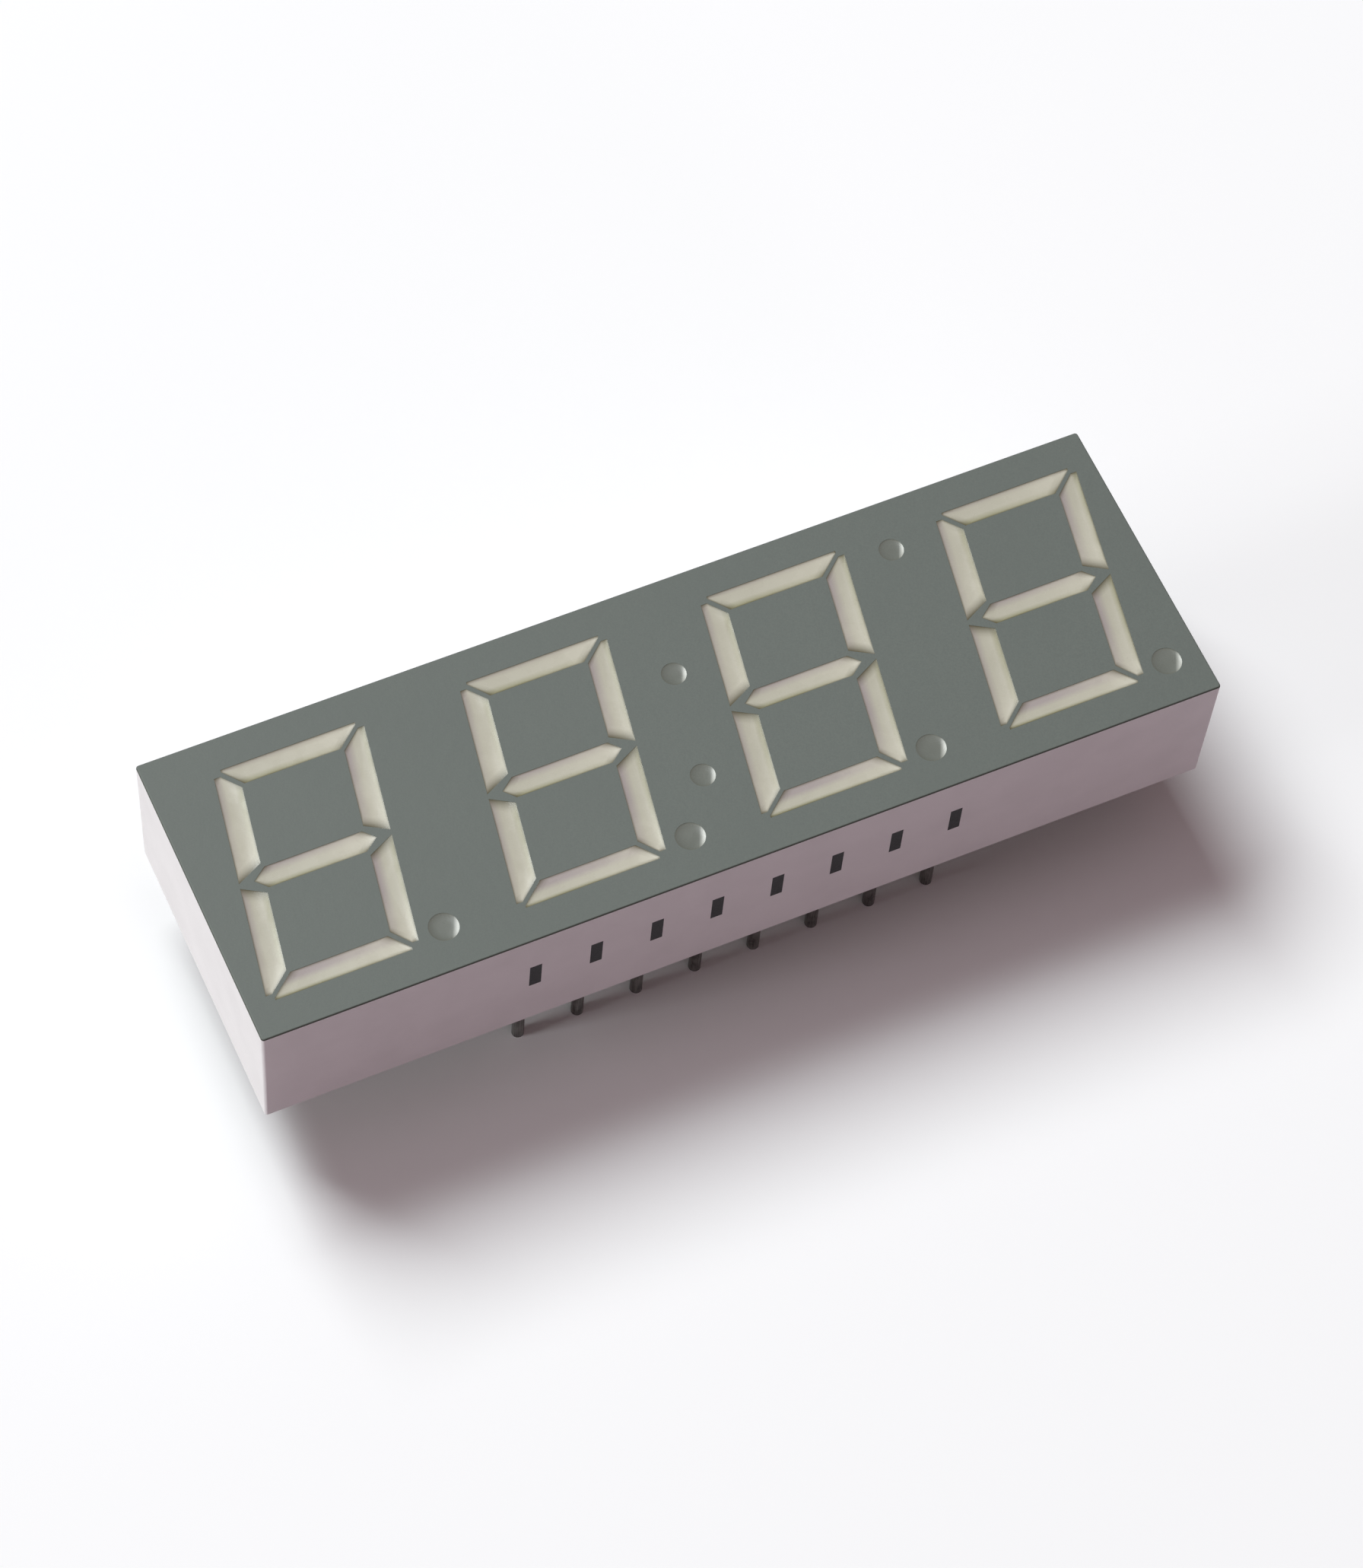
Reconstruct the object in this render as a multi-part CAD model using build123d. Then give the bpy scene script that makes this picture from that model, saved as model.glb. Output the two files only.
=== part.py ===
from build123d import *
import math
import os

# Four-digit seven-segment LED display module, through-hole, with a colon and an apostrophe dot.
#
# A moulded reflector housing has one flared cell for each segment and dot. A circuit board with
# bare LED chips and sixteen round pins closes it from behind, and clear epoxy, cast in one pour,
# fills the cells, bonds the board and seals the back.
#
# Frame: millimetres. +Z points out of the face, +X along the row of digits, +Y to the digits' tops.
# The origin is the middle of the pin grid, in the plane where the module sits on its circuit board.

# ---- housing ----
BODY_HEIGHT = 6.4
END_MARGIN = 0.79  # from the slanted digits' overall width to each end of the housing
EDGE_MARGIN = 1.4  # from the digits' tops and feet to the housing's long edges
BODY_DRAFT = 0.1  # each side wall leans in by this much at the rear rim
CORNER_RADIUS = 0.12
FACE_EDGE_RADIUS = 0.06
WALL = 0.5

# ---- board and the epoxy round it ----
BOARD_THICKNESS = 1.0
BOARD_EDGE_GAP = 0.15
BOARD_FRONT_GAP = 0.15  # epoxy film between the board and the rear of the cells
BACK_FILL = 1.0  # epoxy over the back of the board
PAD_REST_LENGTH = 0.5
PAD_REST_DEPTH = 1.6

# ---- pins ----
PIN_COUNT = 16
PIN_PITCH = 2.54
PIN_ROW_INSET = 1.32  # from the housing's long edge to the middle of the row
PIN_RADIUS = 0.25
PIN_HEAD_RADIUS = 0.3  # at the inner end: the held length tapers out to this
PIN_LENGTH = 3.6  # below the seating plane
PIN_TIP_CHAMFER = 0.1

# ---- digits ----
DIGIT_COUNT = 4
DIGIT_PITCH = 10.2
DIGIT_WIDTH = 6.2
DIGIT_HEIGHT = 10.0
SLANT_DEGREES = 10.3
STROKE_UPRIGHT = 1.0
STROKE_LEVEL = 0.9
MITRE_GAP = 0.17
LEVEL_TIP = 0.1  # blunt end of each level bar, at its outer corner
UPRIGHT_TIP = 0.26  # blunt end of each upright, at its outer corner
WAIST_GAP = 0.2  # between the upper and lower uprights, at the digit's side
WAIST_RISE = 0.54  # how much further apart those two are at their inner edge
BAR_TIP_INSET = 0.6  # from the digit's side to the middle bar's point
BAR_TIP_LENGTH = 0.5

# ---- dots ----
POINT_RADIUS = 0.6
POINT_GAP = 0.46  # from the digit's side to the point, before the slant
POINT_SINK = 0.15  # how far the point reaches below the digit's feet
COLON_RADIUS = 0.5
COLON_OFFSET = 0.2  # from halfway between the middle digits
COLON_RISE = 2.28
APOSTROPHE_OFFSET = -0.1  # from halfway between the last two digits
APOSTROPHE_DROP = 0.8  # from the digits' tops to the dot's middle

# ---- cells ----
CELL_LAND = 0.35  # straight-sided part of a cell at the face
FLOOR_SHARE = 0.75  # the cell floor's outline against the outline at the face
END_DRAW = 0.5  # and each end is drawn in this much further
DOT_TAPER = 0.08

# ---- LED chips, bond wires and copper ----
CHIP_SIDE = 0.28
CHIP_HEIGHT = 0.22
COPPER = 0.035
CHIP_LAND = 0.42
BOND_LAND_LENGTH = 0.24
BOND_LAND_WIDTH = 0.3
LAND_GAP = 0.04  # least gap between a chip's land and its wire's land
BOND_REACH_SEGMENT = 0.72
BOND_REACH_DOT = 0.4
WIRE = 0.03
WIRE_RISE = 0.16
WIRE_SHOULDER = 0.12
RING_RADIUS = 0.45

# ---- worked out ----
LEAN = math.tan(math.radians(SLANT_DEGREES))
DIGIT_SPREAD = (DIGIT_COUNT - 1) * DIGIT_PITCH + DIGIT_WIDTH + LEAN * DIGIT_HEIGHT
BODY_LENGTH = DIGIT_SPREAD + 2 * END_MARGIN
BODY_DEPTH = DIGIT_HEIGHT + 2 * EDGE_MARGIN
PIN_ROW_SPACING = BODY_DEPTH - 2 * PIN_ROW_INSET
POCKET_LENGTH = BODY_LENGTH - 2 * BODY_DRAFT - 2 * WALL
POCKET_DEPTH = BODY_DEPTH - 2 * BODY_DRAFT - 2 * WALL
BOARD_LENGTH = POCKET_LENGTH - 2 * BOARD_EDGE_GAP
BOARD_DEPTH = POCKET_DEPTH - 2 * BOARD_EDGE_GAP
BOARD_BACK = BACK_FILL
BOARD_FRONT = BOARD_BACK + BOARD_THICKNESS
CELL_FLOOR = BOARD_FRONT + BOARD_FRONT_GAP
CHIP_SEAT = BOARD_FRONT + COPPER
CHIP_TOP = CHIP_SEAT + CHIP_HEIGHT
PINS_PER_ROW = PIN_COUNT // 2
POINT_OFFSET = DIGIT_WIDTH / 2 + POINT_GAP + POINT_RADIUS
POINT_DROP = DIGIT_HEIGHT / 2 + POINT_SINK - POINT_RADIUS
APOSTROPHE_RISE = DIGIT_HEIGHT / 2 - APOSTROPHE_DROP

os.makedirs("parts", exist_ok=True)


# ---------------------------------------------------------------- solids from outlines
def polygon_face(points):
    return Face(Wire.make_polygon([Vector(*p) for p in points], close=True))


def solid_between(low_outline, low_z, high_outline, high_z):
    """Closed solid between two outlines whose edges are parallel in pairs, so every side is flat."""
    low = [(x, y, low_z) for x, y in low_outline]
    high = [(x, y, high_z) for x, y in high_outline]
    faces = [polygon_face(low), polygon_face(high)]
    for i in range(len(low)):
        j = (i + 1) % len(low)
        faces.append(polygon_face([low[i], low[j], high[j], high[i]]))
    return Solid(Shell(faces))


def block(length, depth, low_z, high_z, x=0.0, y=0.0):
    """Box with its middle at x, y, from low_z up to high_z."""
    return Pos(x, y, (low_z + high_z) / 2) * Box(length, depth, high_z - low_z)


def rod(radius, low_z, high_z, x, y):
    return Pos(x, y, (low_z + high_z) / 2) * Cylinder(radius, high_z - low_z)


# ---------------------------------------------------------------- the digits' outlines
def mirrored(outline, x_sign, y_sign):
    """The outline turned over, listed the same way round as before."""
    turned = [(x_sign * x, y_sign * y) for x, y in outline]
    return turned if x_sign * y_sign > 0 else turned[::-1]


def segment_outlines():
    """Upright outline of each segment about the digit's middle, listed anticlockwise."""
    side = DIGIT_WIDTH / 2
    top = DIGIT_HEIGHT / 2
    inner_x = side - STROKE_UPRIGHT
    inner_y = top - STROKE_LEVEL
    mitre_step = MITRE_GAP / math.sqrt(2)  # each mitre moves back by this along its own bar
    end_x = inner_x + STROKE_LEVEL - mitre_step - LEVEL_TIP
    end_y = inner_y + STROKE_UPRIGHT - mitre_step - UPRIGHT_TIP
    top_bar = [
        (inner_x - mitre_step, inner_y),
        (end_x, top - LEVEL_TIP),
        (end_x, top),
        (-end_x, top),
        (-end_x, top - LEVEL_TIP),
        (mitre_step - inner_x, inner_y),
    ]
    upper_right = [
        (inner_x, WAIST_GAP / 2 + WAIST_RISE),
        (side, WAIST_GAP / 2),
        (side, end_y),
        (side - UPRIGHT_TIP, end_y),
        (inner_x, inner_y - mitre_step),
    ]
    tip = side - BAR_TIP_INSET
    shoulder = tip - BAR_TIP_LENGTH
    middle_bar = [
        (tip, 0),
        (shoulder, STROKE_LEVEL / 2),
        (-shoulder, STROKE_LEVEL / 2),
        (-tip, 0),
        (-shoulder, -STROKE_LEVEL / 2),
        (shoulder, -STROKE_LEVEL / 2),
    ]
    return {
        "a": top_bar,
        "b": upper_right,
        "c": mirrored(upper_right, 1, -1),
        "d": mirrored(top_bar, 1, -1),
        "e": mirrored(upper_right, -1, -1),
        "f": mirrored(upper_right, -1, 1),
        "g": middle_bar,
    }


def leaned(point, digit_x):
    return (digit_x + point[0] + LEAN * point[1], point[1])


def floor_outline(outline, middle, axis):
    """The outline at the cell's floor: smaller all round, with both ends drawn in along the axis.
    Every edge keeps its direction, so the walls between the two outlines are flat."""
    drawn = []
    for x, y in outline:
        from_middle = (x - middle[0], y - middle[1])
        end = 1 if from_middle[0] * axis[0] + from_middle[1] * axis[1] > 0 else -1
        drawn.append(
            (
                middle[0] + FLOOR_SHARE * from_middle[0] - end * END_DRAW * axis[0],
                middle[1] + FLOOR_SHARE * from_middle[1] - end * END_DRAW * axis[1],
            )
        )
    return drawn


def digit_middle(digit):
    return (digit - (DIGIT_COUNT - 1) / 2) * DIGIT_PITCH


def lights():
    """Every lit place as (name, middle, axis, outline or None, radius or None)."""
    level_axis = (1.0, 0.0)
    upright_length = math.hypot(LEAN, 1.0)
    upright_axis = (LEAN / upright_length, 1.0 / upright_length)
    found = []
    for digit in range(DIGIT_COUNT):
        digit_x = digit_middle(digit)
        for letter, upright in segment_outlines().items():
            outline = [leaned(p, digit_x) for p in upright]
            axis = level_axis if letter in "adg" else upright_axis
            middle = (
                sum(x for x, _ in outline) / len(outline),
                sum(y for _, y in outline) / len(outline),
            )
            found.append((f"{digit + 1}{letter}", middle, axis, outline, None))
        point = leaned((POINT_OFFSET, -POINT_DROP), digit_x)
        found.append((f"{digit + 1}dp", point, upright_axis, None, POINT_RADIUS))
    halfway = (digit_middle(1) + digit_middle(2)) / 2 + COLON_OFFSET
    for name, rise in (("colon_upper", COLON_RISE), ("colon_lower", -COLON_RISE)):
        found.append((name, leaned((0, rise), halfway), upright_axis, None, COLON_RADIUS))
    last_gap = (digit_middle(2) + digit_middle(3)) / 2 + APOSTROPHE_OFFSET
    apostrophe = leaned((0, APOSTROPHE_RISE), last_gap)
    found.append(("apostrophe", apostrophe, upright_axis, None, COLON_RADIUS))
    return found


def cell(light):
    """The space of one cell, from the cell floor to the face."""
    _, middle, axis, outline, radius = light
    land_z = BODY_HEIGHT - CELL_LAND
    if outline is None:
        land = rod(radius, land_z, BODY_HEIGHT, *middle)
        flare_height = land_z - CELL_FLOOR
        flare = Pos(middle[0], middle[1], (land_z + CELL_FLOOR) / 2) * Cone(
            radius - DOT_TAPER, radius, flare_height
        )
        return land + flare
    land = solid_between(outline, land_z, outline, BODY_HEIGHT)
    flare = solid_between(floor_outline(outline, middle, axis), CELL_FLOOR, outline, land_z)
    return land + flare


# ---------------------------------------------------------------- the pieces
def pad_rests():
    """Four low pads in the pocket's corners that the board lies against."""
    x = (POCKET_LENGTH - PAD_REST_LENGTH) / 2
    y = (POCKET_DEPTH - PAD_REST_DEPTH) / 2
    return [
        block(PAD_REST_LENGTH, PAD_REST_DEPTH, BOARD_FRONT, CELL_FLOOR, sx * x, sy * y)
        for sx in (-1, 1)
        for sy in (-1, 1)
    ]


def make_housing(cells):
    face_x = BODY_LENGTH / 2
    face_y = BODY_DEPTH / 2
    face_outline = [(face_x, face_y), (-face_x, face_y), (-face_x, -face_y), (face_x, -face_y)]
    rim_x = face_x - BODY_DRAFT
    rim_y = face_y - BODY_DRAFT
    rim_outline = [(rim_x, rim_y), (-rim_x, rim_y), (-rim_x, -rim_y), (rim_x, -rim_y)]
    body = solid_between(rim_outline, 0, face_outline, BODY_HEIGHT)
    uprights = [e for e in body.edges() if abs(e.bounding_box().size.Z - BODY_HEIGHT) < 1e-6]
    body = fillet(uprights, CORNER_RADIUS)
    body = fillet(body.faces().sort_by(Axis.Z)[-1].edges(), FACE_EDGE_RADIUS)
    body -= block(POCKET_LENGTH, POCKET_DEPTH, 0, CELL_FLOOR)
    body -= cells
    return body + pad_rests()


def pin_places():
    """Pin numbers and places: the lower row left to right, then the upper row right to left."""
    places = []
    for k in range(PIN_COUNT):
        column = k if k < PINS_PER_ROW else PIN_COUNT - 1 - k
        x = (column - (PINS_PER_ROW - 1) / 2) * PIN_PITCH
        y = -PIN_ROW_SPACING / 2 if k < PINS_PER_ROW else PIN_ROW_SPACING / 2
        places.append((k + 1, x, y))
    return places


def make_pin(x, y):
    shank = rod(PIN_RADIUS, -PIN_LENGTH, 0, x, y)
    tip = shank.edges().group_by(Axis.Z)[0]
    held_end = Pos(x, y, BOARD_FRONT / 2) * Cone(PIN_RADIUS, PIN_HEAD_RADIUS, BOARD_FRONT)
    return chamfer(tip, PIN_TIP_CHAMFER) + held_end


def make_board(pins):
    return block(BOARD_LENGTH, BOARD_DEPTH, BOARD_BACK, BOARD_FRONT) - pins


def bond_reach(light):
    return BOND_REACH_DOT if light[3] is None else BOND_REACH_SEGMENT


def turned_to(axis, middle, shape):
    """The shape, drawn along +X at the origin, turned to the axis and moved to the middle."""
    angle = math.degrees(math.atan2(axis[1], axis[0]))
    return Pos(middle[0], middle[1], 0) * Rot(0, 0, angle) * shape


def make_chip(light):
    _, middle, axis, _, _ = light
    return turned_to(axis, middle, block(CHIP_SIDE, CHIP_SIDE, CHIP_SEAT, CHIP_TOP))


def make_wire(light):
    """Bond wire of square section: up from the chip, over, and down to its land beside it."""
    _, middle, axis, _, _ = light
    reach = bond_reach(light)
    peak = CHIP_TOP + WIRE_RISE
    half = WIRE / 2
    line = [
        (-half, CHIP_TOP),
        (half, CHIP_TOP),
        (half, peak - WIRE),
        (WIRE_SHOULDER, peak - WIRE),
        (reach - half, CHIP_SEAT),
        (reach + half, CHIP_SEAT),
        (WIRE_SHOULDER + half, peak),
        (-half, peak),
    ]
    profile = polygon_face([(x, -half, z) for x, z in line])
    return turned_to(axis, middle, extrude(profile, WIRE, dir=(0, 1, 0)))


def make_copper(all_lights, pins):
    """Lands under each chip and wire on the board's front, and a ring round each pin behind."""
    pieces = []
    for light in all_lights:
        _, middle, axis, _, _ = light
        chip_land = block(CHIP_LAND, CHIP_LAND, BOARD_FRONT, CHIP_SEAT)
        reach = bond_reach(light)
        land_x = max(reach, (CHIP_LAND + BOND_LAND_LENGTH) / 2 + LAND_GAP)
        bond_land = block(BOND_LAND_LENGTH, BOND_LAND_WIDTH, BOARD_FRONT, CHIP_SEAT, land_x)
        pieces += [turned_to(axis, middle, chip_land), turned_to(axis, middle, bond_land)]
    for _, x, y in pin_places():
        pieces.append(rod(RING_RADIUS, BOARD_BACK - COPPER, BOARD_BACK, x, y) - pins)
    return pieces


def make_epoxy(cells, embedded):
    pour = block(POCKET_LENGTH, POCKET_DEPTH, 0, CELL_FLOOR)
    pour -= pad_rests()
    pour += cells
    return pour - embedded


def write(shape, name):
    solids = shape if isinstance(shape, list) else [shape]
    flat = [s for item in solids for s in item.solids()]
    export_step(flat[0] if len(flat) == 1 else Compound(flat), f"parts/{name}.step")


def main():
    all_lights = lights()
    cells = [cell(light) for light in all_lights]
    pins = {number: make_pin(x, y) for number, x, y in pin_places()}
    pin_solids = list(pins.values())
    board = make_board(pin_solids)
    chips = {light[0]: make_chip(light) for light in all_lights}
    wires = {light[0]: make_wire(light) for light in all_lights}
    copper = make_copper(all_lights, pin_solids)
    embedded = [board, *pin_solids, *chips.values(), *wires.values(), *copper]

    write(make_housing(cells), "reflector_housing")
    write(make_epoxy(cells, embedded), "epoxy_fill")
    write(board, "circuit_board")
    write(copper, "copper_lands")
    for number, pin in pins.items():
        write(pin, f"pin_{number:02d}")
    for name, chip in chips.items():
        write(chip, f"led_chip_{name}")
    for digit in range(DIGIT_COUNT):
        own = [wire for name, wire in wires.items() if name[0] == str(digit + 1)]
        write(own, f"bond_wires_digit_{digit + 1}")
    dots = [wire for name, wire in wires.items() if not name[0].isdigit()]
    write(dots, "bond_wires_colon_apostrophe")


main()
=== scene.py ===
import math
import bmesh
import bpy
from mathutils import Euler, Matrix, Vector


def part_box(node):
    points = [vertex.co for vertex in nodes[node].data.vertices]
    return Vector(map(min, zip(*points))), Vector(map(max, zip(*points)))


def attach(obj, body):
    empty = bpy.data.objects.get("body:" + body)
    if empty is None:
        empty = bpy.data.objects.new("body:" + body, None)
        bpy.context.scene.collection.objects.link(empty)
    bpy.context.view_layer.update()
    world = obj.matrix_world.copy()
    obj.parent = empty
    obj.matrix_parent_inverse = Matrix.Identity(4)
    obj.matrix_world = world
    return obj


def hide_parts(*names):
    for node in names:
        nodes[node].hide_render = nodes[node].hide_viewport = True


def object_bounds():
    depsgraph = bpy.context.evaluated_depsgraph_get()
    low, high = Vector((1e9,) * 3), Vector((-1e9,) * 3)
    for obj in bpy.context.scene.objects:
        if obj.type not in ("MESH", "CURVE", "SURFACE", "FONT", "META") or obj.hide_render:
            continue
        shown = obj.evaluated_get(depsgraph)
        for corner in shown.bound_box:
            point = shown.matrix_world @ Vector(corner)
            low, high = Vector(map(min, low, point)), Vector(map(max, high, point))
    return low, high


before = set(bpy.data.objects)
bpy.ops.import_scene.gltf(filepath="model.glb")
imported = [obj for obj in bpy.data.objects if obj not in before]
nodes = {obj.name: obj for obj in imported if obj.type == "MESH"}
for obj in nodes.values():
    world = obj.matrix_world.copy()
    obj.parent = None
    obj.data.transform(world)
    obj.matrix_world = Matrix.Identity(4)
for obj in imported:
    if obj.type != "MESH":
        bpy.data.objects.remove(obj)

mm = 0.001
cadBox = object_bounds()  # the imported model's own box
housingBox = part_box("reflector_housing")
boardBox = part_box("circuit_board")
faceHeight = housingBox[1].z
rimHeight = housingBox[0].z
pinTipHeight = cadBox[0].z
pinNames = sorted(name for name in nodes if name.startswith("pin_"))
chipNames = sorted(name for name in nodes if name.startswith("led_chip_"))
wireNames = sorted(name for name in nodes if name.startswith("bond_wires_"))
print("frame loaded:", len(nodes), "nodes")


def toLinear(colour):
    def channel(v):
        return v / 12.92 if v <= 0.04045 else ((v + 0.055) / 1.055) ** 2.4
    return tuple(channel(v) for v in colour) + (1.0,)


# most values of a noise texture lie between these two
noiseLow = 0.3
noiseHigh = 0.7


# helpers that build node materials
def startMaterial(name):
    material = bpy.data.materials.new(name)
    material.use_nodes = True
    tree = material.node_tree
    shader = tree.nodes["Principled BSDF"]
    return material, tree, shader


def addNode(tree, kind, **settings):
    node = tree.nodes.new(kind)
    for key, value in settings.items():
        setattr(node, key, value)
    return node


def maths(tree, operation, first, second=None):
    node = addNode(tree, "ShaderNodeMath", operation=operation)
    for socket, value in zip(node.inputs, (first, second)):
        if value is None:
            continue
        if isinstance(value, (int, float)):
            socket.default_value = value
        else:
            tree.links.new(value, socket)
    return node.outputs[0]


def objectPlace(tree):
    return addNode(tree, "ShaderNodeTexCoord").outputs["Object"]


def axesOf(tree, place):
    split = addNode(tree, "ShaderNodeSeparateXYZ")
    tree.links.new(place, split.inputs[0])
    return split.outputs


def stretched(tree, place, scale):
    mapping = addNode(tree, "ShaderNodeMapping")
    mapping.inputs["Scale"].default_value = scale
    tree.links.new(place, mapping.inputs["Vector"])
    return mapping.outputs[0]


def noise(tree, place, size, detail=4.0, rough=0.55):
    node = addNode(tree, "ShaderNodeTexNoise")
    node.inputs["Scale"].default_value = 1.0 / size
    node.inputs["Detail"].default_value = detail
    node.inputs["Roughness"].default_value = rough
    tree.links.new(place, node.inputs["Vector"])
    return node.outputs["Fac"]


def ramp(tree, value, stops):
    node = addNode(tree, "ShaderNodeValToRGB")
    elements = node.color_ramp.elements
    while len(elements) < len(stops):
        elements.new(0.5)
    for element, (place, colour) in zip(elements, stops):
        element.position = place
        element.color = toLinear(colour)
    tree.links.new(value, node.inputs[0])
    return node.outputs[0]


def spread(tree, value, low, high, newLow, newHigh):
    node = addNode(tree, "ShaderNodeMapRange")
    for socket, number in zip(list(node.inputs)[1:5], (low, high, newLow, newHigh)):
        socket.default_value = number
    tree.links.new(value, node.inputs[0])
    return node.outputs[0]


# spreads a noise over a range of roughness, opacity or strength
def fromNoise(tree, value, newLow, newHigh):
    return spread(tree, value, noiseLow, noiseHigh, newLow, newHigh)


def blendColours(tree, share, first, second):
    node = addNode(tree, "ShaderNodeMix", data_type="RGBA")
    for socket, value in ((node.inputs[0], share), (node.inputs[6], first), (node.inputs[7], second)):
        if isinstance(value, tuple):
            socket.default_value = value
        else:
            tree.links.new(value, socket)
    return node.outputs[2]


def addBump(tree, shader, height, depth, strength):
    node = addNode(tree, "ShaderNodeBump")
    node.inputs["Distance"].default_value = depth
    node.inputs["Strength"].default_value = strength
    tree.links.new(height, node.inputs["Height"])
    tree.links.new(node.outputs[0], shader.inputs["Normal"])


# housing: white moulded plastic, grey ink on its face
housing = {
    "plastic": (0.885, 0.88, 0.87),
    "plasticShade": (0.865, 0.86, 0.85),
    "ink": (0.42, 0.445, 0.42),
    "inkShade": (0.39, 0.415, 0.395),
    "inkEdge": (0.23, 0.245, 0.21),  # the ink is darker where it rolls over an edge
    "inkDepth": 0.08 * mm,  # a darker band where the ink wraps round the edges of the face and cells
    "tickPitch": 2.54 * mm,
    "tickWidth": 0.5 * mm,
    "tickTop": 2.2 * mm,  # below the face
    "tickBottom": 3.7 * mm,
    "tickColour": (0.09, 0.085, 0.10),
    "ticksEachWay": 4,  # from the middle of the row
    "mottleSize": 2.2 * mm,
    "grainSize": 0.07 * mm,
    "cloudSize": 4.5 * mm,
    "waveSize": 0.6 * mm,
    "rough": (0.44, 0.56),
    "inkRough": 0.04,  # the ink is rougher than the plastic by this
    "bumpDepth": 0.004 * mm,
}


def housingMaterial():
    material, tree, shader = startMaterial("whiteHousingPlastic")
    place = objectPlace(tree)
    x, y, z = axesOf(tree, place)
    mottle = noise(tree, place, housing["mottleSize"], 5.0)
    grain = noise(tree, place, housing["grainSize"], 3.0, 0.6)
    plastic = ramp(tree, mottle, [(0.3, housing["plasticShade"]), (0.62, housing["plastic"])])
    specks = ramp(tree, grain, [(0.3, housing["inkShade"]), (0.7, housing["ink"])])
    cloud = fromNoise(tree, noise(tree, place, housing["cloudSize"], 2.0), 0.0, 0.35)
    ink = blendColours(tree, cloud, specks, toLinear(housing["inkShade"]))

    # pin ticks on the near long side: one short bar above each pin
    steps = maths(tree, "DIVIDE", x, housing["tickPitch"])
    offPitch = maths(tree, "ABSOLUTE", maths(tree, "SUBTRACT", maths(tree, "FRACT", steps), 0.5))
    acrossTick = maths(tree, "LESS_THAN", offPitch, housing["tickWidth"] / housing["tickPitch"] / 2)
    rowEnd = housing["ticksEachWay"] * housing["tickPitch"]
    withinRow = maths(tree, "LESS_THAN", maths(tree, "ABSOLUTE", x), rowEnd)
    belowTop = maths(tree, "LESS_THAN", z, faceHeight - housing["tickTop"])
    aboveBottom = maths(tree, "GREATER_THAN", z, faceHeight - housing["tickBottom"])
    nearSide = maths(tree, "LESS_THAN", y, housingBox[0].y + 0.3 * mm)
    tick = maths(tree, "MULTIPLY", acrossTick, withinRow)
    for part in (belowTop, aboveBottom, nearSide):
        tick = maths(tree, "MULTIPLY", tick, part)
    body = blendColours(tree, tick, plastic, toLinear(housing["tickColour"]))

    onFace = maths(tree, "GREATER_THAN", z, faceHeight - housing["inkDepth"])
    # darker band over the top of the face's and cells' edges
    rolled = spread(tree, z, faceHeight - 0.02 * mm, faceHeight - 0.002 * mm, 1.0, 0.0)
    ink = blendColours(tree, rolled, ink, toLinear(housing["inkEdge"]))
    tree.links.new(blendColours(tree, onFace, body, ink), shader.inputs["Base Color"])
    rough = fromNoise(tree, grain, *housing["rough"])
    inkRough = maths(tree, "MULTIPLY", onFace, housing["inkRough"])
    tree.links.new(maths(tree, "ADD", rough, inkRough), shader.inputs["Roughness"])
    shader.inputs["Specular IOR Level"].default_value = 0.35
    waves = noise(tree, place, housing["waveSize"], 2.0)
    height = maths(tree, "ADD", grain, maths(tree, "MULTIPLY", waves, 2.0))
    addBump(tree, shader, height, housing["bumpDepth"], 0.6)
    return material


nodes["reflector_housing"].data.materials[0] = housingMaterial()
print("housing finished")


# epoxy: one casting, milky in the cells, clearer over the back
epoxy = {
    "paintedShadingUpperSide": (0.80, 0.755, 0.74),  # painted shading across a segment, from its upper or left side
    "cream": (0.88, 0.865, 0.785),
    "paintedShadingLowerSide": (0.70, 0.69, 0.53),
    "bright": (0.945, 0.925, 0.845),  # painted highlight towards a segment's right or lower end, where the cell's end wall catches the light
    # the rim colour is painted shade: a dark outline just inside each cell's edge
    "paintedShadeRimColour": (0.36, 0.34, 0.25),
    # a dot's grey is painted shade of its deep, narrow cell; its light crescent is a painted highlight on
    # the lit wall
    "dotGrey": (0.52, 0.54, 0.505),
    "dotPaintedHighlight": (0.90, 0.91, 0.87),
    "cellOpacity": 0.66,
    "rimOpacity": 0.92,
    "backTint": (0.62, 0.63, 0.55),
    "backOpacity": (0.36, 0.48),
    "refraction": 1.53,
    "segmentCloud": 0.9 * mm,
    "backCloud": 1.6 * mm,
    "dotSize": 0.8 * mm,  # a cell no wider than this from its middle is a dot's
    "bond": 0.01 * mm,  # the casting reaches this far into what it touches
    "sink": 0.004 * mm,  # the casting's top lies this far under the face at the cell's edge
    "rings": [0.985, 0.97, 0.95, 0.92, 0.88, 0.8, 0.65, 0.4],  # as shares of a cell's outline
    "rimWidth": 0.1 * mm,
    "dotRim": 0.35,  # how strong the rim is round a dot, against round a segment
    "dishReach": 0.3 * mm,  # the resin shrinks down from the cell's edge over this distance
    "dishDepth": 0.035 * mm,
    "pinRadius": 0.25 * mm,
    # each step of the collar's curve, out from the pin and down it, in mm
    "collar": [(0.24, 0.0), (0.14, 0.02), (0.06, 0.07), (0.015, 0.15), (-0.01, 0.2)],
    "collarRoot": -0.01,  # the collar starts this far up in the casting
    "collarSides": 24,
}


def readAttribute(tree, name):
    return addNode(tree, "ShaderNodeAttribute", attribute_name=name).outputs["Fac"]


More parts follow.
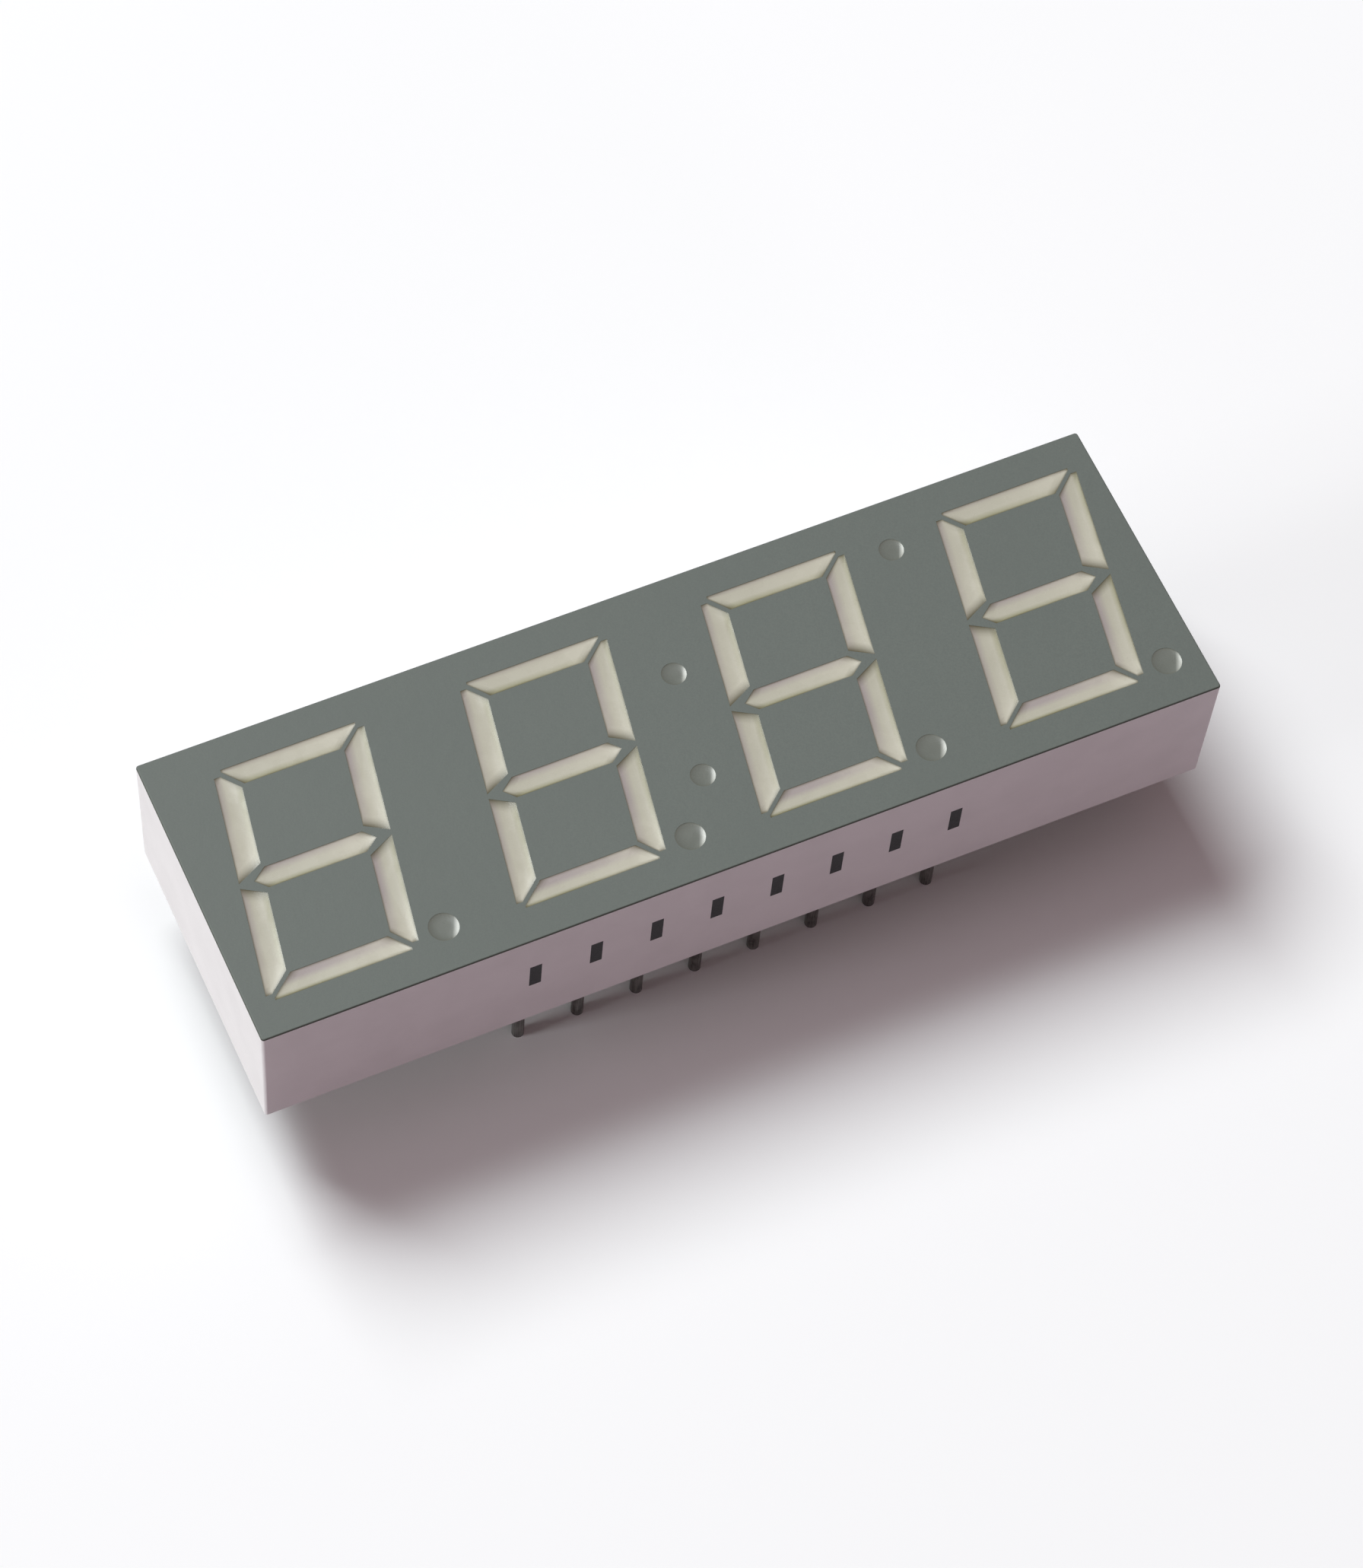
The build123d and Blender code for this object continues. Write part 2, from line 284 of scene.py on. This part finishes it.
def cellEpoxy():
    material, tree, shader = startMaterial("milkyEpoxy")
    place = objectPlace(tree)
    # painted shading across each cell: the walls' light and shade seen through the resin, greyer on the
    # upper or left side, darker yellow on the lower or right
    paintedShadingAcross = [
        (0.05, epoxy["paintedShadingUpperSide"]),
        (0.4, epoxy["cream"]),
        (0.72, epoxy["cream"]),
        (0.98, epoxy["paintedShadingLowerSide"]),
    ]
    across = ramp(tree, readAttribute(tree, "across"), paintedShadingAcross)
    along = readAttribute(tree, "along")
    cloud = noise(tree, place, epoxy["segmentCloud"], 3.0)
    # painted highlight: lighter towards each segment's right or lower end
    towardsEnd = spread(tree, along, 0.35, 1.0, 0.0, 1.0)
    paintedHighlightShare = maths(tree, "MULTIPLY", towardsEnd, fromNoise(tree, cloud, 0.55, 0.95))
    segment = blendColours(tree, paintedHighlightShare, across, toLinear(epoxy["bright"]))
    # painted highlight: a light crescent towards the dot's lower right, over painted grey shade
    paintedCrescent = spread(tree, along, 0.78, 0.92, 0.0, 0.85)
    dotTint = blendColours(tree, paintedCrescent, toLinear(epoxy["dotGrey"]), toLinear(epoxy["dotPaintedHighlight"]))
    tint = blendColours(tree, readAttribute(tree, "dot"), segment, dotTint)
    # painted shade: a dark rim round the edge of each cell, weaker round a dot
    rim = readAttribute(tree, "rim")
    tree.links.new(blendColours(tree, rim, tint, toLinear(epoxy["paintedShadeRimColour"])), shader.inputs["Base Color"])
    opacity = spread(tree, rim, 0.0, 1.0, epoxy["cellOpacity"], epoxy["rimOpacity"])
    tree.links.new(opacity, shader.inputs["Alpha"])
    tree.links.new(fromNoise(tree, cloud, 0.22, 0.34), shader.inputs["Roughness"])
    shader.inputs["IOR"].default_value = epoxy["refraction"]
    addBump(tree, shader, noise(tree, place, 0.5 * mm, 2.0), 0.006 * mm, 0.5)
    return material


def backEpoxy():
    material, tree, shader = startMaterial("clearBackEpoxy")
    place = objectPlace(tree)
    cloud = noise(tree, place, epoxy["backCloud"], 3.0)
    shader.inputs["Base Color"].default_value = toLinear(epoxy["backTint"])
    tree.links.new(fromNoise(tree, cloud, *epoxy["backOpacity"]), shader.inputs["Alpha"])
    tree.links.new(fromNoise(tree, cloud, 0.12, 0.22), shader.inputs["Roughness"])
    shader.inputs["IOR"].default_value = epoxy["refraction"]
    addBump(tree, shader, noise(tree, place, 2.5 * mm, 2.0), 0.05 * mm, 0.6)
    return material


# grows the casting a hair into what it touches, so that those pieces show through it cleanly
def bondToNeighbours(shape, top):
    kept = set(top)
    moves = []
    for v in shape.verts:
        level, rise = Vector(), 0.0
        for face in v.link_faces:
            normal = face.normal
            openBack = normal.z < -0.9 and face.calc_center_median().z < rimHeight + 0.01 * mm
            if face in kept or openBack:
                continue
            if abs(normal.z) > 0.9:
                rise += normal.z
            else:
                level += Vector((normal.x, normal.y, 0)).normalized()
        move = level.normalized() * epoxy["bond"] if level.length > 0.1 else Vector()
        if abs(rise) > 0.5:
            move.z += math.copysign(epoxy["bond"], rise)
        moves.append((v, move))
    for v, move in moves:
        v.co += move


# replaces a cell's flat top with rings that dip to the middle, marked with the values its material reads
def dishTop(shape, face, marks):
    outline = list(face.verts)
    middle = face.calc_center_median()
    middle.z = faceHeight - epoxy["sink"]
    isDot = max((v.co - middle).length for v in outline) < epoxy["dotSize"]
    edges = []
    for first, second in zip(outline, outline[1:] + outline[:1]):
        first.co.z = middle.z
        way = Vector((second.co.x - first.co.x, second.co.y - first.co.y, 0))
        edges.append((way.length, way.normalized(), first.co.copy()))
    # the along and across marks run towards the lower right, where the painted highlight and shading fall
    downRight = Vector((0.9, -0.44, 0)).normalized()
    longest = max(edges, key=lambda edge: edge[0])
    axis = downRight if isDot else longest[1]
    side = Vector((-axis.y, axis.x, 0))
    axis = axis if axis.dot(downRight) > 0 else -axis
    side = side if side.dot(Vector((1, -1, 0))) > 0 else -side
    halfLength = max((v.co - middle).dot(axis) for v in outline)
    halfWidth = max((v.co - middle).dot(side) for v in outline)

    def mark(v, inside):
        out = v.co - middle
        v[marks["rim"]] = max(0.0, 1 - inside / epoxy["rimWidth"]) * (epoxy["dotRim"] if isDot else 1.0)
        v[marks["dot"]] = 1.0 if isDot else 0.0
        v[marks["along"]] = 0.5 + 0.5 * out.dot(axis) / halfLength
        v[marks["across"]] = 0.5 + 0.5 * out.dot(side) / halfWidth

    shape.faces.remove(face)
    for v in outline:
        mark(v, 0.0)
    ring = outline
    for share in epoxy["rings"]:
        nextRing = []
        for corner in outline:
            place = middle + (corner.co - middle) * share
            inside = min((place - start).dot(Vector((-way.y, way.x, 0))) for _, way, start in edges)
            sunk = min(1.0, inside / epoxy["dishReach"])
            v = shape.verts.new(place - Vector((0, 0, epoxy["dishDepth"] * (1 - (1 - sunk) ** 2))))
            mark(v, inside)
            nextRing.append(v)
        for i in range(len(ring)):
            j = (i + 1) % len(ring)
            shape.faces.new((ring[i], ring[j], nextRing[j], nextRing[i])).smooth = True
        ring = nextRing
    shape.faces.new(ring).smooth = True


# resin drawn up round a pin where it leaves the back
def addCollar(shape, x, y):
    rings = []
    curve = epoxy["collar"]
    roots = [(curve[-1][0], epoxy["collarRoot"]), (curve[0][0], epoxy["collarRoot"])]
    for out, down in curve + roots:
        radius = epoxy["pinRadius"] + out * mm
        ring = []
        for step in range(epoxy["collarSides"]):
            turn = 2 * math.pi * step / epoxy["collarSides"]
            place = (x + radius * math.cos(turn), y + radius * math.sin(turn), rimHeight - down * mm)
            ring.append(shape.verts.new(place))
        rings.append(ring)
    for first, second in zip(rings, rings[1:] + rings[:1]):
        for i in range(epoxy["collarSides"]):
            j = (i + 1) % epoxy["collarSides"]
            face = shape.faces.new((first[j], first[i], second[i], second[j]))
            face.smooth = True
            face.material_index = 1


def castingMesh():
    shape = bmesh.new()
    shape.from_mesh(nodes["epoxy_fill"].data)
    bmesh.ops.remove_doubles(shape, verts=shape.verts, dist=0.0005 * mm)
    bmesh.ops.dissolve_limit(shape, angle_limit=math.radians(0.5), verts=shape.verts, edges=shape.edges)
    marks = {name: shape.verts.layers.float.new(name) for name in ("rim", "dot", "along", "across")}
    shape.normal_update()
    topLevel = faceHeight - 0.001 * mm
    top = [f for f in shape.faces if f.normal.z > 0.99 and f.calc_center_median().z > topLevel]
    for face in shape.faces:
        face.material_index = 1 if face.calc_center_median().z < boardBox[1].z else 0
    print("cells found:", len(top))
    bondToNeighbours(shape, top)
    for face in top:
        dishTop(shape, face, marks)
    for name in pinNames:
        low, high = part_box(name)
        addCollar(shape, (low.x + high.x) / 2, (low.y + high.y) / 2)
    bmesh.ops.recalc_face_normals(shape, faces=shape.faces)
    mesh = bpy.data.meshes.new("epoxyCasting")
    shape.to_mesh(mesh)
    shape.free()
    return mesh


casting = bpy.data.objects.new("epoxyCasting", castingMesh())
bpy.context.collection.objects.link(casting)
casting.data.materials.append(cellEpoxy())
casting.data.materials.append(backEpoxy())
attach(casting, "root")
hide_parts("epoxy_fill")
print("epoxy finished")


# pins: drawn wire, hot tinned
pin = {
    # tin and dull are both set darker than tinned wire is: painted shade for the shadow the pins stand in
    "tin": (0.53, 0.525, 0.51),
    "dull": (0.35, 0.34, 0.335),
    "streakWidth": 0.05 * mm,
    "streakStretch": (1.0, 1.0, 0.06),  # drawn out along the pin
    "patchSize": 0.5 * mm,
}


def pinMaterial():
    material, tree, shader = startMaterial("tinnedPin")
    place = objectPlace(tree)
    streaks = noise(tree, stretched(tree, place, pin["streakStretch"]), pin["streakWidth"], 3.0)
    patches = noise(tree, place, pin["patchSize"], 4.0)
    mixed = maths(tree, "MULTIPLY", maths(tree, "ADD", streaks, patches), 0.5)
    tree.links.new(ramp(tree, mixed, [(0.38, pin["dull"]), (0.6, pin["tin"])]), shader.inputs["Base Color"])
    tree.links.new(fromNoise(tree, patches, 0.24, 0.46), shader.inputs["Roughness"])
    shader.inputs["Metallic"].default_value = 1.0
    addBump(tree, shader, streaks, 0.004 * mm, 0.5)
    return material


tinned = pinMaterial()
for name in pinNames:
    nodes[name].data.materials[0] = tinned
print("pins finished:", len(pinNames))


# board: woven glass laminate under green solder mask
board = {
    "mask": (0.13, 0.33, 0.20),
    "maskLight": (0.20, 0.42, 0.27),
    "edge": (0.62, 0.58, 0.40),
    "threadPitch": 0.45 * mm,
    "maskThickness": 0.03 * mm,
}
wavePeriod = 0.314  # of a wave texture whose scale is 1


def boardMaterial():
    material, tree, shader = startMaterial("boardLaminate")
    place = objectPlace(tree)
    z = axesOf(tree, place)[2]
    threads = []
    for direction in ("X", "Y"):
        wave = addNode(tree, "ShaderNodeTexWave", bands_direction=direction)
        wave.inputs["Scale"].default_value = wavePeriod / board["threadPitch"]
        wave.inputs["Distortion"].default_value = 0.4
        tree.links.new(place, wave.inputs["Vector"])
        threads.append(wave.outputs["Fac"])
    weave = maths(tree, "MULTIPLY", maths(tree, "ADD", threads[0], threads[1]), 0.5)
    mask = ramp(tree, weave, [(0.25, board["mask"]), (0.8, board["maskLight"])])
    middle = (boardBox[0].z + boardBox[1].z) / 2
    fromMiddle = maths(tree, "ABSOLUTE", maths(tree, "SUBTRACT", z, middle))
    bareHalf = (boardBox[1].z - boardBox[0].z) / 2 - board["maskThickness"]
    bareEdge = maths(tree, "LESS_THAN", fromMiddle, bareHalf)
    tree.links.new(blendColours(tree, bareEdge, mask, toLinear(board["edge"])), shader.inputs["Base Color"])
    shader.inputs["Roughness"].default_value = 0.38
    addBump(tree, shader, weave, 0.01 * mm, 0.5)
    return material


nodes["circuit_board"].data.materials[0] = boardMaterial()


# copper, chips and bond wires
metalwork = {
    "gold": (0.86, 0.68, 0.34),
    "goldShade": (0.70, 0.52, 0.24),
    "die": (0.38, 0.34, 0.27),
    "dieShade": (0.24, 0.21, 0.17),
}


def goldMaterial(name, grainSize, roughness):
    material, tree, shader = startMaterial(name)
    place = objectPlace(tree)
    grain = noise(tree, place, grainSize, 4.0)
    colour = ramp(tree, grain, [(0.3, metalwork["goldShade"]), (0.65, metalwork["gold"])])
    tree.links.new(colour, shader.inputs["Base Color"])
    tree.links.new(fromNoise(tree, grain, roughness, roughness + 0.15), shader.inputs["Roughness"])
    shader.inputs["Metallic"].default_value = 1.0
    addBump(tree, shader, grain, 0.003 * mm, 0.4)
    return material


def chipMaterial():
    material, tree, shader = startMaterial("ledDie")
    place = objectPlace(tree)
    grain = noise(tree, place, 0.05 * mm, 3.0)
    colour = ramp(tree, grain, [(0.35, metalwork["dieShade"]), (0.6, metalwork["die"])])
    tree.links.new(colour, shader.inputs["Base Color"])
    shader.inputs["Roughness"].default_value = 0.22
    addBump(tree, shader, grain, 0.002 * mm, 0.4)
    return material


nodes["copper_lands"].data.materials[0] = goldMaterial("platedLands", 0.12 * mm, 0.28)
die = chipMaterial()
for name in chipNames:
    nodes[name].data.materials[0] = die
bondGold = goldMaterial("bondWireGold", 0.04 * mm, 0.18)
for name in wireNames:
    nodes[name].data.materials[0] = bondGold
print("board, lands, chips and wires finished")


# floor, lights and camera
studio = {
    "floorBounce": (0.60, 0.53, 0.57),  # the floor's colour to light that bounces off it onto the part
    "floorSize": 1.6,
    "keyFrom": (-0.20, 0.535, 0.82),
    "keyDistance": 1.2,
    "keySize": 0.6,
    "keyPower": 14.3,
    "keyColour": (0.93, 0.99, 1.0),
    "sideFrom": (-0.98, 0.05, 0.13),
    "sideDistance": 1.2,
    "sideSize": 0.3,
    "sidePower": 9.6,
    "sideColour": (0.95, 0.98, 1.0),
    "frontFrom": (0.15, -0.98, 0.13),
    "frontDistance": 1.2,
    "frontSize": 0.3,
    "frontPower": 1.9,
    "frontColour": (1.0, 0.88, 0.97),
    "skyColour": (1.0, 0.68, 0.72),
    "skyStrength": 0.15,
}


def addFloor():
    half = studio["floorSize"] / 2
    mesh = bpy.data.meshes.new("floor")
    corners = [(-half, -half, 0), (half, -half, 0), (half, half, 0), (-half, half, 0)]
    mesh.from_pydata(corners, [], [(0, 1, 2, 3)])
    floor = bpy.data.objects.new("floor", mesh)
    floor.location.z = pinTipHeight
    bpy.context.collection.objects.link(floor)
    material, tree, shader = startMaterial("paleFloor")
    rays = addNode(tree, "ShaderNodeLightPath").outputs
    seen = maths(tree, "MAXIMUM", rays["Is Camera Ray"], rays["Is Glossy Ray"])
    seen = maths(tree, "MAXIMUM", seen, rays["Is Transmission Ray"])
    colour = blendColours(tree, seen, toLinear(studio["floorBounce"]), (1.0, 1.0, 1.0, 1.0))
    tree.links.new(colour, shader.inputs["Base Color"])
    shader.inputs["Roughness"].default_value = 0.9
    shader.inputs["Specular IOR Level"].default_value = 0.1
    mesh.materials.append(material)


def addLamp(name, direction, distance, size, power, colour):
    data = bpy.data.lights.new(name, "AREA")
    data.size = size
    data.energy = power
    data.color = colour
    lamp = bpy.data.objects.new(name, data)
    way = Vector(direction).normalized()
    lamp.location = way * distance
    lamp.rotation_euler = way.to_track_quat("Z", "Y").to_euler()
    bpy.context.collection.objects.link(lamp)


def addSky():
    world = bpy.data.worlds.new("studioSky")
    bpy.context.scene.world = world
    world.use_nodes = True
    background = world.node_tree.nodes["Background"]
    background.inputs["Color"].default_value = tuple(studio["skyColour"]) + (1.0,)
    background.inputs["Strength"].default_value = studio["skyStrength"]


addFloor()
addSky()
for lampName in ("key", "side", "front"):
    addLamp(
        lampName + "Lamp",
        studio[lampName + "From"],
        studio[lampName + "Distance"],
        studio[lampName + "Size"],
        studio[lampName + "Power"],
        studio[lampName + "Colour"],
    )

view = {
    "fromFace": (-54.75, -98.21, 188.84),  # from the middle of the face, in mm
    "turn": (30.062, -2.888, -24.238),  # degrees about X, Y and Z
    "lens": 131.0,
}
cameraData = bpy.data.cameras.new("camera")
cameraData.lens = view["lens"]
cameraData.clip_start = 0.01
camera = bpy.data.objects.new("camera", cameraData)
camera.location = Vector(view["fromFace"]) * mm + Vector((0, 0, faceHeight))
camera.rotation_euler = Euler([math.radians(v) for v in view["turn"]])
bpy.context.collection.objects.link(camera)
bpy.context.scene.camera = camera
bpy.context.scene.view_settings.view_transform = "Standard"
print("floor, lights and camera placed")
